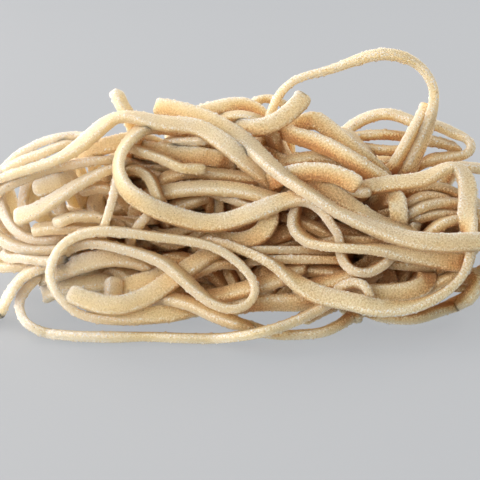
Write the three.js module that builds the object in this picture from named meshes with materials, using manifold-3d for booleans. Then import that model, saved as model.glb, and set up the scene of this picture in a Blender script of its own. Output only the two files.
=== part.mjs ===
// A loose heap of fresh linguine, about 120 g, lying on a flat surface.
// The strands cling together, so the heap is one solid out to its uneven outline: a packed mound, the coils
// that lie over it, the loops that run out on the table, and one loop that arches clear above the crown.
// Millimetres, +Z up. +X runs along the heap and -Y is its front. The origin is the middle of the base.
import * as THREE from "three";
import { mergeVertices } from "three/addons/utils/BufferGeometryUtils.js";
import Module from "manifold-3d";

// ---- Driving dimensions ----
const STRAND = { wide: 4.2, thick: 2.2 }; // a strand's flat face and its edge
const MOUND = { length: 122, depth: 86, height: 36.5 }; // the packed mound under the coils
const SLUMP = 0.14; // how much lower than its middle the mound stands towards +X, and higher towards -X
const RIM = 1.4; // how thick the mound still is at its rim, where single strands lie on the table
const BLUNT = { ends: 4.5, sides: 1.9, crown: 0.8 }; // powers of its profile: steep ends, sloping front and back
const LOBES = [
  { waves: 3, amount: 0.03, phase: 0.6 },
  { waves: 7, amount: 0.02, phase: 2.1 },
]; // waves round its outline
const SWELLS = { across: 17, along: 13, height: 0.9 }; // period and height of the unevenness of its surface
const BEDDING = 0.9; // how deep a strand sits in what it lies on
const ROWS = 8; // the mound's facets from crown to rim
const SPOKES = 36; // and round the axis
const FACET = 6.5; // length of one facet along a strand
const GOLDEN = 137.5; // degrees between the starts of coils that follow each other
const COLOUR = 0xe6cfa3;

const degrees = THREE.MathUtils.degToRad;
const lerp = THREE.MathUtils.lerp;

// ---- The mound ----
// The mound's profile over a point of the table: 1 on its axis, falling to 0 at its rim and outside it.
function profile(x, y) {
  const angle = Math.atan2(y / MOUND.depth, x / MOUND.length);
  const wave = LOBES.reduce((sum, lobe) => sum + lobe.amount * Math.sin(lobe.waves * angle + lobe.phase), 1);
  const u = Math.abs((2 * x) / (MOUND.length * wave));
  const v = Math.abs((2 * y) / (MOUND.depth * wave));
  const left = 1 - Math.pow(u, BLUNT.ends) - Math.pow(v, BLUNT.sides);
  return left > 0 ? Math.pow(left, BLUNT.crown) : 0;
}

function moundHeight(x, y) {
  const full = profile(x, y);
  const top = MOUND.height * (1 - SLUMP * Math.sin((Math.PI * x) / MOUND.length));
  const swell = Math.sin((2 * Math.PI * x) / SWELLS.across) * Math.cos((2 * Math.PI * y) / SWELLS.along);
  return full > 0 ? RIM + (top - RIM + SWELLS.height * swell) * full : 0;
}

// The point of the mound's surface in a direction from its axis where its profile has come down to a level.
function onMound(angle, level) {
  const x = (MOUND.length / 2) * Math.cos(angle);
  const y = (MOUND.depth / 2) * Math.sin(angle);
  let inner = 0;
  let outer = 1.5;
  for (let i = 0; i < 24; i++) {
    const reach = (inner + outer) / 2;
    if (profile(x * reach, y * reach) > Math.max(level, 0)) inner = reach;
    else outer = reach;
  }
  return new THREE.Vector3(x * inner, y * inner, moundHeight(x * inner, y * inner));
}

// The mound as a closed surface: a fan of rows from the crown down to the rim, a low wall, and the flat base.
function mound() {
  const rows = [new THREE.Vector2(0, 0)];
  for (let i = 1; i <= ROWS; i++) rows.push(new THREE.Vector2(1, i));
  rows.push(new THREE.Vector2(1, ROWS + 1), new THREE.Vector2(0, ROWS + 1));
  const shape = new THREE.LatheGeometry(rows, SPOKES);
  const at = shape.getAttribute("position");
  for (let i = 0; i < at.count; i++) {
    const row = at.getY(i);
    const onAxis = Math.hypot(at.getX(i), at.getZ(i)) < 0.5;
    const level = Math.cos((Math.min(row, ROWS) / ROWS) * (Math.PI / 2));
    const p = onAxis ? new THREE.Vector3(0, 0, moundHeight(0, 0)) : onMound(Math.atan2(at.getZ(i), at.getX(i)), level);
    at.setXYZ(i, p.x, p.y, row > ROWS ? 0 : p.z);
  }
  return shape;
}

// The direction that the mound's surface faces at a point of it.
function outward(p) {
  const e = 2;
  const dx = moundHeight(p.x + e, p.y) - moundHeight(p.x - e, p.y);
  const dy = moundHeight(p.x, p.y + e) - moundHeight(p.x, p.y - e);
  return new THREE.Vector3(-dx, -dy, 2 * e).normalize();
}

// ---- The strands ----
// A flat oval with six sides, wide along Y and thick along X.
function section() {
  const oval = new THREE.Shape();
  oval.moveTo(0, STRAND.wide / 2);
  oval.lineTo(-STRAND.thick / 2, STRAND.wide / 4);
  oval.lineTo(-STRAND.thick / 2, -STRAND.wide / 4);
  oval.lineTo(0, -STRAND.wide / 2);
  oval.lineTo(STRAND.thick / 2, -STRAND.wide / 4);
  oval.lineTo(STRAND.thick / 2, STRAND.wide / 4);
  oval.closePath();
  return oval;
}

// A strand through points, with its flat face turned to the direction that facing gives at a point. roll then
// turns it about its own line, up to 90 degrees for a strand that stands on its edge.
function strand(points, facing, roll = 0) {
  const route = new THREE.CatmullRomCurve3(points, false, "centripetal");
  const steps = Math.max(3, Math.round(route.getLength() / FACET));
  route.computeFrenetFrames = (count) => {
    const frames = { tangents: [], normals: [], binormals: [] };
    for (let i = 0; i <= count; i++) {
      const along = route.getTangentAt(i / count);
      const across = new THREE.Vector3().crossVectors(facing(route.getPointAt(i / count)), along).normalize();
      across.applyAxisAngle(along, degrees(roll));
      frames.tangents.push(along);
      frames.binormals.push(across);
      frames.normals.push(new THREE.Vector3().crossVectors(across, along).normalize());
    }
    return frames;
  };
  return new THREE.ExtrudeGeometry(section(), { steps, extrudePath: route, bevelEnabled: false });
}

// A coil round the mound at a level. It leans, so that it climbs on one side and sinks on the other, and it
// stands a little proud in its middle, where it crosses others.
function wrap({ from, span, level, lean, proud, roll }) {
  const points = [];
  const count = Math.round(span / 24);
  for (let i = 0; i <= count; i++) {
    const part = i / count;
    const angle = degrees(from + span * part);
    const p = onMound(angle, level + lean * Math.sin(angle * 2 + degrees(from)));
    const out = STRAND.thick / 2 - BEDDING + proud * Math.sin(Math.PI * part);
    p.addScaledVector(outward(p), out);
    p.z = Math.max(p.z, STRAND.thick / 2);
    points.push(p);
  }
  return strand(points, outward, roll);
}

// A loop seen from above: part of a turned ellipse, laid over the mound, or on the table where it passes the rim.
function loop({ x, y, rx, ry, turn, from, span, proud, roll = 0 }) {
  const points = [];
  const count = Math.round(span / 24);
  const centre = new THREE.Vector2(0, 0);
  for (let i = 0; i <= count; i++) {
    const angle = degrees(from + (span * i) / count);
    const plan = new THREE.Vector2(rx * Math.cos(angle), ry * Math.sin(angle)).rotateAround(centre, degrees(turn));
    plan.add(new THREE.Vector2(x, y));
    const over = moundHeight(plan.x, plan.y) + STRAND.thick / 2 - BEDDING + proud * Math.sin((Math.PI * i) / count);
    points.push(new THREE.Vector3(plan.x, plan.y, Math.max(over, STRAND.thick / 2)));
  }
  return strand(points, outward, roll);
}

// Coils from near the rim to near the crown, each starting a golden angle round from the last.
const WRAPS = { count: 7, lowest: 0.1, highest: 0.86, shortest: 170, longest: 250 };

function wraps() {
  const made = [];
  for (let i = 0; i < WRAPS.count; i++) {
    const up = i / (WRAPS.count - 1);
    made.push(
      wrap({
        from: i * GOLDEN,
        span: lerp(WRAPS.longest, WRAPS.shortest, up),
        level: lerp(WRAPS.lowest, WRAPS.highest, up),
        lean: i % 2 ? 0.1 : -0.07,
        proud: i % 3,
        roll: i % 3 === 1 ? 55 : 0,
      }),
    );
  }
  return made;
}

const LOOPS = [
  { x: -18, y: -31, rx: 33, ry: 13, turn: 3, from: 130, span: 200, proud: 0 }, // on the table, along the front
  { x: 32, y: -26, rx: 27, ry: 12, turn: 14, from: 215, span: 170, proud: 0 }, // on the table, front right
  { x: -22, y: -22, rx: 23, ry: 12, turn: 4, from: 20, span: 300, proud: 1.5 }, // on the front, left
  { x: 6, y: 16, rx: 52, ry: 40, turn: 22, from: 215, span: 110, proud: 2.4 }, // the long diagonal over the front
  { x: -14, y: -4, rx: 19, ry: 20, turn: 30, from: 150, span: 200, proud: 2 },
  { x: 16, y: 4, rx: 22, ry: 18, turn: 35, from: -30, span: 240, proud: 2.6 },
  { x: -18, y: 14, rx: 30, ry: 14, turn: 8, from: 15, span: 230, proud: 1.8 },
];

// The loop that arches clear above the crown, a half ellipse that leans back over its span.
const ARCH = { x: 24, y: 4, halfSpan: 17.5, foot: 31, top: 51.6, lean: 6, faces: new THREE.Vector3(0.25, -0.85, 0.6) };

function arch() {
  const points = [];
  for (let a = 0; a <= 180; a += 22.5) {
    const side = Math.cos(degrees(a));
    const up = lerp(ARCH.foot, ARCH.top - STRAND.thick / 2, Math.sin(degrees(a)));
    points.push(new THREE.Vector3(ARCH.x - ARCH.halfSpan * side, ARCH.y - ARCH.lean * side, up));
  }
  return strand(points, () => ARCH.faces);
}

// Two free ends that stand up from the crown, each a short strand from a foot inside the mound.
const ENDS = [
  { foot: new THREE.Vector3(-23, 4, 32), tip: new THREE.Vector3(-27, 6, 44.5), faces: new THREE.Vector3(0.6, -0.8, 0) },
  { foot: new THREE.Vector3(2, 1, 35), tip: new THREE.Vector3(13, 3, 43), faces: new THREE.Vector3(0.3, -0.9, 0.3) },
];

function end({ foot, tip, faces }) {
  return strand([foot, foot.clone().lerp(tip, 0.5), tip], () => faces);
}

// ---- One solid ----
const wasm = await Module();
wasm.setup();

function solid(geometry) {
  const bare = geometry.clone();
  bare.deleteAttribute("normal");
  bare.deleteAttribute("uv");
  const merged = mergeVertices(bare, 1e-3);
  const triVerts = new Uint32Array(merged.index.array);
  const vertProperties = merged.getAttribute("position").array;
  const made = new wasm.Manifold(new wasm.Mesh({ numProp: 3, vertProperties, triVerts }));
  if (made.volume() > 0) return made;
  triVerts.reverse();
  return new wasm.Manifold(new wasm.Mesh({ numProp: 3, vertProperties, triVerts }));
}

// What lies below the table, taken off because a turned strand's edge would pass under it.
function belowTable() {
  const slab = new THREE.BoxGeometry(2 * MOUND.length, 2 * MOUND.depth, MOUND.height);
  return solid(slab.translate(0, 0, -MOUND.height / 2));
}

function geometryOf(made) {
  const mesh = made.getMesh();
  const shape = new THREE.BufferGeometry();
  shape.setAttribute("position", new THREE.BufferAttribute(mesh.vertProperties, 3));
  shape.setIndex(new THREE.BufferAttribute(mesh.triVerts, 1));
  return shape;
}

// The outer skin alone: a space shut in between a strand and the mound is filled.
function withoutCavities(made) {
  return made.decompose().reduce((best, one) => (one.volume() > best.volume() ? one : best));
}

const strands = [...wraps(), ...LOOPS.map(loop), arch(), ...ENDS.map(end)];
const joined = strands.reduce((all, one) => all.add(solid(one)), solid(mound()));
const heap = geometryOf(withoutCavities(joined.subtract(belowTable())));

// The origin is the middle of the base.
heap.computeBoundingBox();
const middle = heap.boundingBox.getCenter(new THREE.Vector3());
heap.translate(-middle.x, -middle.y, 0);
heap.computeVertexNormals();

const pasta = new THREE.MeshStandardMaterial({ color: COLOUR, roughness: 0.8, metalness: 0 });
const heapMesh = new THREE.Mesh(heap, pasta);
heapMesh.name = "pasta_heap";

const part = new THREE.Group();
part.name = "fresh_linguine";
part.add(heapMesh);

export default part;
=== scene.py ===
"""A loose heap of fresh linguine on a pale table: strands laid one by one where they show, and drawn by a
seeded loop where they don't. Lengths are in millimetres until a mesh is made, which is in metres."""
import math
from types import SimpleNamespace

import bpy
import numpy as np
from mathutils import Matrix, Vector

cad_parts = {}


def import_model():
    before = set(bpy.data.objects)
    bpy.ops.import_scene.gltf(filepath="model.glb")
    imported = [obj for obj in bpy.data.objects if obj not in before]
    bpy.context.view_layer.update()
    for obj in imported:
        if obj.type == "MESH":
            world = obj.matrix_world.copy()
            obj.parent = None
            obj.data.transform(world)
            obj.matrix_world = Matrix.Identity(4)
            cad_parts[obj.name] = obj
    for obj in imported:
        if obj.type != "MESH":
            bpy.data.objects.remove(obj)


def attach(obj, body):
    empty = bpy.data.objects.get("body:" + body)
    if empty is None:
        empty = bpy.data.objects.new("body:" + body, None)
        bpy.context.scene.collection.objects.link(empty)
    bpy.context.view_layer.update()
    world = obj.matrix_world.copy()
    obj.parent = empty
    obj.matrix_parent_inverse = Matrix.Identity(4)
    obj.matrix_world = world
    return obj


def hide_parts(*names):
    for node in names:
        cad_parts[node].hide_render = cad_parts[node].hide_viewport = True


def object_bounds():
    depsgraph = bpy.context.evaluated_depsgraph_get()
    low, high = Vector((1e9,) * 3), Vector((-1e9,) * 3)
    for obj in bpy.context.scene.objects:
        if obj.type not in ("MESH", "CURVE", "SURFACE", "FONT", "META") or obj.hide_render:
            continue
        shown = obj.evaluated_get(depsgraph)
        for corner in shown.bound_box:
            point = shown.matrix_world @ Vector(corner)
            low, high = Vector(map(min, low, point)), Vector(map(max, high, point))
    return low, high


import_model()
cad_low, cad_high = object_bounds()

MM = 0.001
WIDE = 2.0  # half a strand's flat face
THICK = 0.93  # half its edge
random = np.random.default_rng(20)

# ---- The heap's box and profile, from the frame ----
HALF_LENGTH = (cad_high.x - cad_low.x) / 2 / MM
HALF_DEPTH = (cad_high.y - cad_low.y) / 2 / MM
CROWN = 0.70 * cad_high.z / MM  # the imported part's height, without the loop that arches above it
PACKED_X = 8.0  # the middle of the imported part; the strands are sparse at the heap's left end
PACKED_HALF = HALF_LENGTH - 15

# ---- The camera, and the picture plane that the strands are laid in ----
ELEVATION = math.radians(15.5)
DISTANCE = 450.0
PICTURE_WIDTH = 104.35  # across the image, in the picture plane
SENSOR = 36.0
MIDDLE = np.array([0.0, -18.0, 16.66])  # the point that the image's centre looks at
MIDDLE_UP = 22.2  # its height in the picture plane, above the front strand's foot
AWAY = np.array([0.0, math.cos(ELEVATION), -math.sin(ELEVATION)])
ACROSS = np.array([1.0, 0.0, 0.0])
UP = np.array([0.0, math.sin(ELEVATION), math.cos(ELEVATION)])
EYE = MIDDLE - DISTANCE * AWAY


def ray(across, up):
    """The direction from the eye through a point of the picture plane."""
    towards = DISTANCE * AWAY + across * ACROSS + (up - MIDDLE_UP) * UP
    return towards / np.linalg.norm(towards)


def picture(points):
    """Where points stand in the picture plane: across and up."""
    d = points - EYE
    scale = DISTANCE / (d @ AWAY)
    return np.stack([d[:, 0] * scale, (d @ UP) * scale + MIDDLE_UP], axis=1)


# How far back the front of the heap stands (y) where it shows at a height in the picture plane.
FRONT_UP = [0, 1, 5, 10, 20, 30, 40, 48, 52, 62]
FRONT_Y = [-41, -41, -38, -35, -29, -22, -13, -4, 0, 8]
STRAIGHT = 25  # how far the front runs straight to each side of the middle
ROUNDING = 0.006  # how fast it bends back from there


def front(across, up):
    """How far back (y) the front of the heap stands where it shows at (across, up)."""
    return np.interp(up, FRONT_UP, FRONT_Y) + ROUNDING * np.maximum(np.abs(across) - STRAIGHT, 0) ** 2


def place(across, up, back):
    """A point that shows at (across, up), back mm behind the heap's front, or on the table if back is T."""
    towards = ray(across, up)
    if back is None:
        return EYE + towards * ((THICK - EYE[2]) / towards[2])
    return EYE + towards * ((front(across, up) + back - EYE[1]) / towards[1])


# ---- The strands that show ----
# Each is (tone, points, start, end). tone is how pale (above 0) or brown (below 0) it is: partly the strand's
# own colour, partly painted light where it lies lit and painted shade where it lies in shadow. An end is
# "cut" or
# "round" where it is free, and "in", or not given, where the strand goes on inside the heap. A point is
# (across, up, back, turn). turn is 0 where the flat face is towards the eye and 90 where it is edge on,
# leaning left of the strand's direction, or right below 0. What a point lacks is as at the one before.
T = None  # on the table
STRANDS = [
    # the loop on the left and the strands at the foot
    (0.05, [(-38,19.6,3,70), (-35,21.1,2,72), (-31,21.4,1,74), (-26,20.4,0), (-21,19,-0.5,68),
     (-16.5,17.1,-1,58), (-12.8,14.3,-1,46), (-9.5,11.2,-1,56), (-6,8.5,-1,70), (-2,7.2,-1,80),
     (1.3,8,-1,86), (3.1,10.4,-1,90), (2.9,13,-1,94), (0.6,16.3,-1,98), (-3,19.2,-1,100), (-7,21.1,-1,102),
     (-12,22.1,-1,105), (-18,22.9), (-25,23.8), (-31,24.1,-1,104), (-36,22.8,-1,102), (-39.5,20,-1,100),
     (-41.3,15.5,-1,104), (-40.6,12,-0.5,102), (-38.3,8.7,0.5,98), (-34.8,6.1,2,88), (-30,5.2,2.5,66),
     (-25,5.3,2.5,40), (-20,5.8,2.5,22), (-15,6.4,3,16), (-10,7.6,5)]),
    (0.1, [(-40,15,10,80), (-43.3,14.2,8,82), (-45.6,12.4,7,86), (-47.4,10.1,6,88), (-47.9,7.6,5),
     (-47,5,3.5,86), (-45,3.2,2,82), (-42,2,T,80), (-38,1.5,T,78), (-33,1.2,T,76), (-27,1.1), (-20,1.2),
     (-13,0.9), (-6,0.8), (-1,1.2,-1), (3,1.8,-3), (6,2.5), (9,3.4,-1.5,74), (13,5,0,72), (16,6.5,2,70),
     (19.5,8.6,3,66)], "in", "cut"),
    (0.15, [(-35.8,10.2,-0.5,6), (-33,9.1,-0.5,8), (-29.5,8.2,-0.5,10), (-26,8.1), (-22.5,9,0),
     (-19,10.7,0.5,12), (-16,12.7,1,14), (-13,14.8,1.5,20), (-10,17,2,28), (-7,18.8,3.5,36),
     (-4,20,5,40)], "round", "in"),
    (0.0, [(-19,9.6,5,50), (-16,9.5,3.5), (-13,8.9,2.5,48), (-10,8,2,46), (-6.5,6.3,2,44), (-3,4.9,2,46),
     (0,3.9,3,54), (3,2.9,T,64), (6,2,T,72), (9,1.6,T,74), (12,1.6), (17,2), (20.5,3.2), (24,5.2,T,72),
     (27,6.9,5,70)]),
    (0.0, [(28,33.6,3,26), (32,34.4,3,30), (36,34.8,3,34), (40,35.5), (43,36.9,3,46), (45.5,38.1,3,64),
     (47.6,37.5,2.5,50), (49.1,35.4,1.5,20), (49.5,32,1,8), (49.3,29,0.5,4), (49.6,26,0,-10),
     (49.9,23.3,0,-34), (50,20.5,0,-64), (49.3,16.6,-0.5,-80), (47.8,13.8,-1,-82), (45.4,11.5,-1,-78),
     (42.4,9.6,-1,-70), (38.8,8.1,-1,-56), (35,7.4,-1,-44), (31,7.4,-1,-30), (28,7.8,-1,-22),
     (24,8.8,-1,-20), (20.5,9.5,-1,-14), (17,10.4,-1,-10), (14,11.8,-1,-20), (11,13.9,-0.5,-44),
     (8.5,15.9,0,-64), (5.5,17.8,0.5,-78), (2,19.4,2,-86), (-2,20.9,3.4,-88), (-5,21.6,5)]),
    (-0.1, [(28.6,6.3,T,66), (31,5.5,T,64), (34,5.2), (38,5.3,T,60), (43,6.7,T,56), (47,8.3,T,50),
     (50,10.3,9,40), (51.2,12.8,9,30), (49.7,14.5,11,20), (46.5,14.2,12,14), (43,13.2,13)], "cut", "in"),
    # the strands that cross the whole heap
    (0.1, [(-58,31.5,6,82), (-52,35.6,1), (-48,36.9,0), (-44,38.2,0,78), (-40,39.6,0,70), (-36.5,41.5,0,50),
     (-33.5,43.8,0,40), (-31,46,0,42), (-28.5,48,0,54), (-25.5,49,0,68), (-22,48.7,0,50), (-18,47.7,0,34),
     (-14,47.3,0,28), (-10,46.9,0,22), (-7,45.6,0,18), (-4,43.7,0,16), (-1,41.4,1,18), (2,38.6,3,26),
     (5,36,5,36), (8,33,8,40)]),
    (0.15, [(-13,46,5,-50), (-17,46.6,4), (-21,46.2,1.5,-52), (-24,43.8,0,-56), (-25.9,40.8,0,-58),
     (-26.4,38,0,-56), (-26,35.5,0,-40), (-24.5,33,0,-26), (-22.3,31.2,0,-10), (-19,29.3,0,6),
     (-15,27.7,0,14), (-10,26.3,0,18), (-6,25.9,0,20), (-2,26.5), (2,27.9), (6,29.4,0.5,22),
     (10,30.8,1.5,34), (13.5,31,2,52), (16.5,29.6,2,74), (18.6,27.4,2,84), (20.2,25,2.5,88), (21.6,22.6,3),
     (22,19.5,3,80), (23,17,2,76), (25,15.5,1,72), (28,15.2,1,70), (31,16.8,1,72), (33,18.7,2.5,75)]),
    (0.0, [(-17.8,51.2,4,12), (-13,50.3,2.5,14), (-8,48.7,1.5,16), (-3.5,46.5,0.5,20), (0,44.5,0,26),
     (3,42,-0.5,32), (6,39,-1,40), (9.5,36,-1.5,48), (13,33.6,-2,56), (17,31,-2,60), (21,28.4,-2,58),
     (25,26.4,-2,52), (30,24.4,-2,40), (35,22.8,-2.5,30), (40,21.9,-3,20), (45,21.6,-3,16), (50,21.8,-3,14),
     (54,22,-3,20), (59,22.5,0,32), (63,21,6,40)], "cut", "in"),
    (-0.2, [(13,31.5,3,70), (12.4,29.6,2,76), (12,27.6,1.5,64), (11.8,26,1,52), (12.3,24.3,0.5,44),
     (13.6,22.8,0,46), (15.7,21.5,0,60), (18.5,20.9,0,76), (22,20.5,0,80), (26,20.3,0,74), (30,20.1,0,58),
     (35,19.3,0,36), (40,18.5,0,18), (45,17.7,0.5,8), (48,17.2,2,6)]),
    (0.1, [(6,47.5,7,84), (6.6,49.6,6,88), (7.4,51.6,5,90), (8.6,53.8,4), (10.4,55.8,3), (12.6,57.2,2.5),
     (15.2,58.1,2), (18,58.8,1.5,88), (21,59.7,1,82), (24.5,61,0.5,72), (27.5,62,0,64), (30,62.5,0,60),
     (33,62.5,0,56), (36,61.8,0,60), (38.6,60.3,1,70), (40.6,58.2,1,78), (41.9,55.6,2,82), (42.2,53,4,74),
     (41.8,50.3,6,62), (41,47.5,8,52), (39.7,44,11,44), (38.2,40.5,13,40), (36.8,37.5,15,38)]),
    # the left end
    (0.5, [(-40.5,16.9,6,-64), (-43.5,16.1,5,-66), (-46.4,14.8,5,-68), (-48.8,12.5,5,-70), (-50.6,9.6),
     (-52.2,6.6,T), (-55,5.2,T,-74), (-58,4.8,T,-76), (-60,5.4,T,-78)], "in", "cut"),
    (0.5, [(-58,28,16,80), (-54.5,34.5,14,84), (-51,38.2,12,86), (-48.5,40.6,12,88), (-46,42.1),
     (-43,43.5,12,86), (-40,44.4,11,82), (-36.5,44.8,11,76), (-33,44.6,10,70)]),
    (0.2, [(-54,36,10,72), (-50.5,37.8,8), (-47,39.6,8,74), (-43,41,8,76), (-40,42.3), (-37,43.4,8,72)]),
    (0.5, [(-58,27,7,76), (-52,33,4,78), (-49,34.5,3.5,80), (-46,35.8,3.5,78), (-43,37.1,3.5,74), (-40,38,3),
     (-36,38.7,3,78), (-32,39.3,3,80), (-28,39.6,4)]),
    (0.1, [(-39.5,38.3,6,30), (-37,39.3,5,26), (-34,40.9,4,24), (-30.5,42.3,3.5), (-27,43.2,3.5,26),
     (-23.5,44,5,30)]),
    (0.25, [(-47.7,27.4,1,24), (-45,28.3,0.5,30), (-42,29.9,0.5,38), (-39,31.8,0.5,46), (-36,33.7,1,58),
     (-33,35.4,1.5,66), (-29.5,37.1,2.5,72), (-26,38.2,5,76)], "round", "in"),
    (0.8, [(-45.8,35,9,60), (-46.7,32.6,8,62), (-47.1,30,7), (-47,28,9)]),
    (0.2, [(-43.3,33.6,3,4), (-41.5,34.2,3,6), (-39,35,3.5,12), (-36,36,6,20)], "round", "in"),
    (0.4, [(-39.6,31.2,6,84), (-39.2,33,5), (-38.3,36.5,6,80), (-38,38,8)]),
    (0.2, [(-33.2,33.3,4,50), (-31,33.8,4,54), (-28,33.2,5,58)], "round", "in"),
    (0.1, [(-38.9,26.3,1.5,66), (-37,27), (-34,27.3,1.5,68), (-31,27.1,2.5,70),
     (-28,26.4,4,72)], "round", "in"),
    (-0.1, [(-44.4,24.4,2.5,56), (-41,24.8), (-37,24.8,3.5,58), (-34,24.6,5,60)], "cut", "in"),
    (0.5, [(-52,35.5,9,60), (-52.2,32.5,6,62), (-51.5,29,4,64), (-50,25.9,3,66), (-47.6,23.5,2.5),
     (-44.6,22.3,3), (-41,22.2,4)]),
    (0.4, [(-57,25,8,60), (-52,22.3,4,62), (-48,20.5,3,64), (-44,20), (-40,20.4,3.5,62), (-36,21,5,60)]),
    (0.1, [(-49.5,18.3,7,70), (-46.5,18.2,4,72), (-44,17.8,3.5), (-41,17.6,4,70)]),
    (-0.2, [(-57,16,11,74), (-52,16.2,7), (-46,16.4,6,72), (-43,16.5,6,70)]),
    (0.2, [(-26.8,36,3,88), (-27,34,1.5,90), (-27.6,31.5,1), (-28.3,29), (-29,26.7), (-29.8,24.5,2.5)]),
    (0.2, [(-19,28.7,3,88), (-20.8,26.8,1.5,90), (-22.8,24.6,2)]),
    # inside the loop on the left
    (1.0, [(-42,14.6,7,16), (-39.5,15.4,5), (-36,16.6,4), (-32,17.8), (-27.5,18.4,4,20), (-23.5,17.9,4,30),
     (-20,16.8,5,44)]),
    (0.8, [(-27.5,12.4,6,20), (-27.5,10.5), (-27.3,8,7)], "round", "in"),
    (1.0, [(-41,11.2,8,30), (-38,12,7.5), (-33,12.8), (-28,13.2,8,40)]),
    (0.6, [(-28,11.5,8,20), (-24,12.4,6,14), (-19,13.8,5), (-15,15.6,6,30)]),
    (-0.3, [(-11,14.9,8,44), (-8,16,6), (-5,17.3,5,46), (-1,17.2,6,50)]),
    (-0.2, [(-8,9.8,6,38), (-5,10,4), (0,11.2,3), (4,12.4), (8,13.5,3,40), (12,15.5,4,44)]),
    (-0.4, [(-2,7.5,6,-34), (2,8.3,4), (7,8.6), (12,8.6,4.5), (17.5,9,6)], "in", "cut"),
    (-0.3, [(15,12.3,6,40), (18,12.6,4,42), (21,13.4,4,44), (25,15,5,46)]),
    # the hollow in the middle
    (-0.1, [(6.6,30.5,4,-6), (6.5,28.3,2), (6.2,26.2,1.5,-8), (5.1,24.2,2,-10), (3,22.7,3.5,-14),
     (0.3,21.9,5,-20), (-2.8,22,6,-24), (-6,23,7,-30)]),
    (-0.5, [(1,20.1,6,84), (4,20.1,4,86), (10,20,3.5,88), (16,19.9), (21,19.6,4,86)]),
    (-0.5, [(4,17.7,7,84), (7,18,5), (12,18,4.5), (21,17.9,5)]),
    (-0.4, [(9,15.8,8,50), (13,15.9,6,48), (18,15.4,5.5), (24,14.6,6.5,50)]),
    (-0.3, [(11,27,6,56), (13.5,26,5,58), (16,25,4,60), (18,24), (20,22.8,4.5,62), (22,22,6)]),
    (-0.4, [(22,22.2,6,88), (27,22,5,90), (31.8,22,6,88)]),
    (0.1, [(-18.8,31.9,5,40), (-16.5,32.5,3.5), (-13.5,33.1,2.5,42), (-9,33.5), (-4,33.4), (0.5,32.9),
     (5,31.7,3,46), (8,30.8,4,52)]),
    (-1.8, [(-25.5,37,6,60), (-23.3,37.4,5,62), (-21,36.8,4,64), (-19.4,35.2,3,66), (-18.5,33.2,2),
     (-17.8,31.4,1.5,64)], "in", "round"),
    (-1.0, [(-24,42.6,6,66), (-21.4,41.4,2.5,68), (-18,40.2,1.5,70), (-15.2,39,1.2,72), (-13,37.9,1.2,74),
     (-9,37.7,3)], "in", "round"),
    (0.0, [(-24,42.4,9,0), (-20,41.6,6.5), (-15,41.1,5.5), (-10,40.6,5), (-4,39.6,6,4)]),
    (-0.6, [(-17,35,8,50), (-14.5,36.3,6,52), (-10,37,5.5), (-5,36.5), (1,35.7), (6,35,6)]),
    (0.6, [(-25.3,36.8,5,70), (-22,37,6), (-18,36.3,7)]),
    (0.5, [(-25,39.6,5,70), (-23,38.8,6), (-20.5,37.8,7), (-16,38,8)]),
    (0.0, [(-14.5,29.3,6,50), (-11.5,30.2,5), (-8,31.5,6)]),
    (-0.1, [(-4.4,33,8,84), (-4.5,30.5,6,86), (-4.4,27.5,6,88)]),
    (0.0, [(-6,32.6,6,66), (-2.5,31.4,5,68), (1,30,4.5,70), (4,29,5,72)]),
    (0.1, [(-13,43.5,3.5,80), (-10.5,43.6,2,82), (-8.5,43.8,1.5,80), (-7,44,1.5,78)], "in", "cut"),
    # the crown
    (0.2, [(-26.4,53.3,3,50), (-25.8,51.8,3,48), (-24.6,49.8,3,46), (-23.5,47.6,5)], "round", "in"),
    (-0.1, [(-13,48.5,9,40), (-9,49.8,7,34), (-5,50.8,6.5,28), (-1,51.4,6.5,22), (2,51), (4.5,49.4,7,30),
     (6.5,47.5,9,40)]),
    (0.0, [(-6,47.6,8,60), (-3,48.7,5), (0,49.1,4.5), (3.5,48.3,5), (7,46.5,7)]),
    (0.1, [(1,50.5,11,84), (3,52.1,10), (5.3,52.9), (8,52.6), (10.5,51,12)]),
    (0.1, [(13.4,52.7,1,-8), (11.6,50.7,1,-10), (9,48.6,1.2,-12), (6,47.1,1.5,-14), (3,46.5,2.5,-18),
     (0,46.8,4,-22)], "round", "in"),
    (-0.2, [(40,50.2,8,56), (38.9,48,8.5,54), (37.4,45.2,9.5,52), (35.9,42.5,10.5,50), (34.4,39.7,12,48),
     (33,37.5,13,46)], "round", "in"),
    (0.2, [(21,42.5,20,52), (22.8,45.5,21,54), (25.5,47.7,22,56), (29,49.2,23,58), (32,49.6),
     (35.5,48.8,23,60), (38,47.8,22,64), (43,47,22,62), (46,45.6,22,56), (48.8,44.3,21,62),
     (50.2,42.6,20,90), (49,40.9,20,112), (45.5,40.2,20,124), (41,39.6,20,128)]),
    (0.1, [(22,42.6,22,70), (24,44.2,20), (28,45,19), (33,45), (38,44.2,20)]),
    (-0.1, [(23,42.2,20,66), (26,42.3,18), (30,41.8,17), (35,41.5,18)]),
    (0.6, [(39,43.4,20,66), (41,43.7,18), (44,43.2), (47,42.2,19)]),
    (-0.5, [(8,46.6,6,-14), (11,45.2,4), (15,44), (19,42.4,4,-16), (23,40.3,4,-18), (27,37.8,4,-22),
     (31,35.3,5,-30)]),
    (-0.1, [(12.5,46.5,11,20), (14.7,48,9,16), (17,47.9,8,12), (19.5,46.2,8,8), (22,44), (24.5,41.7,8,12),
     (27.5,39.5,8,20), (30.5,36.8,9,30)], "round", "in"),
    (0.0, [(21,45.6,15,64), (23.5,45,13), (25.5,43,12), (27.5,41.3), (29,39,13)]),
    (0.1, [(9.5,38.8,8,50), (12.5,39.6,6,48), (16.5,40,5.5,46), (21,39,6,48), (25,37.2,7,50)]),
    # the right end
    (0.1, [(7.5,35.4,3.5,8), (10.5,36.3,1.5,4), (13.5,36.9,1,2), (17,37,1,0), (20,36.6), (23,35.5,1,4),
     (25.2,34.3,1,8)], "in", "cut"),
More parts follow.
